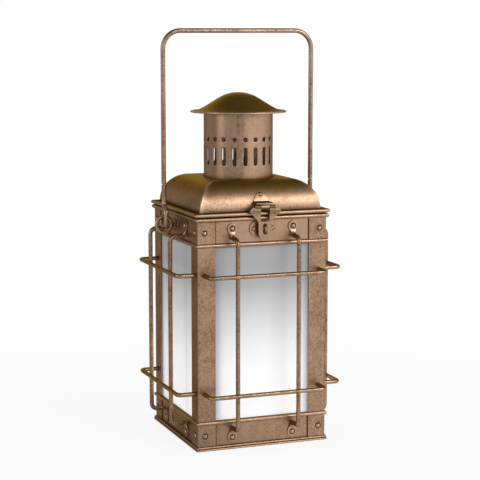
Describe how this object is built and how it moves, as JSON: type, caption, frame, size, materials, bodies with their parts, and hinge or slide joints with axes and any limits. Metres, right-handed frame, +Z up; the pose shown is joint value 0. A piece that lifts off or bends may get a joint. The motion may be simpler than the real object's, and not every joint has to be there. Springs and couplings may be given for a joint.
{
  "type": "candle lantern",
  "caption": "Square candle lantern with frosted glass sides, a wire cage, a hinged roof with a vented chimney, a front hasp and a swinging bail handle.",
  "frame": {"origin": "on the ground under the middle of the foot ring", "axes": "+Z up, -Y to the front with the hasp, +X to the right; the handle swings about X"},
  "size_m": [0.1842, 0.1818, 0.4259],
  "materials": {
    "case_copper": "satin antique copper",
    "roof_copper": "satin antique copper, darker on top",
    "wire_copper": "satin antique copper wire",
    "fittings_copper": "satin antique copper, worn bright at edges",
    "frosted_glass": "frosted",
    "wax": "smooth wax",
    "wick": "braided cotton"
  },
  "bodies": {
    "case": {"cage_cross_bars_back": "wire_copper", "cage_cross_bars_front": "wire_copper", "cage_cross_bars_left": "wire_copper", "cage_cross_bars_right": "wire_copper", "cage_rivets": "fittings_copper", "cage_uprights_back": "wire_copper", "cage_uprights_front": "wire_copper", "cage_uprights_left": "wire_copper", "cage_uprights_right": "wire_copper", "candle": "wax", "candle_cup": "case_copper", "candle_saucer": "case_copper", "candle_wick": "wick", "case_rim": "case_copper", "corner_post_back_left": "case_copper", "corner_post_back_right": "case_copper", "corner_post_front_left": "case_copper", "corner_post_front_right": "case_copper", "eye_bolt_left": "wire_copper", "eye_bolt_nuts": "fittings_copper", "eye_bolt_right": "wire_copper", "eye_bolt_rosettes": "fittings_copper", "floor_pan": "case_copper", "foot_ring": "case_copper", "glass_back": "frosted_glass", "glass_corner_strips": "case_copper", "glass_front": "frosted_glass", "glass_left": "frosted_glass", "glass_right": "frosted_glass", "glass_sill": "case_copper", "hinge_case_leaf": "fittings_copper", "hinge_case_rivets": "fittings_copper", "hinge_pin": "fittings_copper", "lower_band": "case_copper", "lower_bead": "case_copper", "post_rivets": "fittings_copper", "staple": "wire_copper", "staple_plate": "fittings_copper", "staple_rivets": "fittings_copper", "upper_band": "case_copper", "upper_bead": "case_copper"},
    "roof": {"roof_flange": "roof_copper", "roof_shell": "roof_copper", "chimney": "roof_copper", "chimney_collar": "roof_copper", "chimney_cap": "roof_copper", "cap_brackets": "roof_copper", "hinge_roof_leaf": "fittings_copper", "hinge_roof_rivets": "fittings_copper", "hasp_upper_leaf": "fittings_copper", "hasp_roof_rivet": "fittings_copper", "hasp_pin": "fittings_copper"},
    "hasp": {"hasp_leaf": "fittings_copper"},
    "handle": {"bail_handle": "wire_copper"}
  },
  "joints": [
    {"name": "roof_hinge", "type": "hinge", "parent": "case", "child": "roof", "pos_m": [0, 0.0763, 0.23865], "axis": [-1, 0, 0], "range_deg": [0, 105]},
    {"name": "hasp_hinge", "type": "hinge", "parent": "roof", "child": "hasp", "pos_m": [0, -0.0759, 0.2483], "axis": [-1, 0, 0], "range_deg": [0, 135]},
    {"name": "handle_swing", "type": "hinge", "parent": "case", "child": "handle", "pos_m": [0, 0, 0.231], "axis": [1, 0, 0], "range_deg": [-95, 95]}
  ]
}
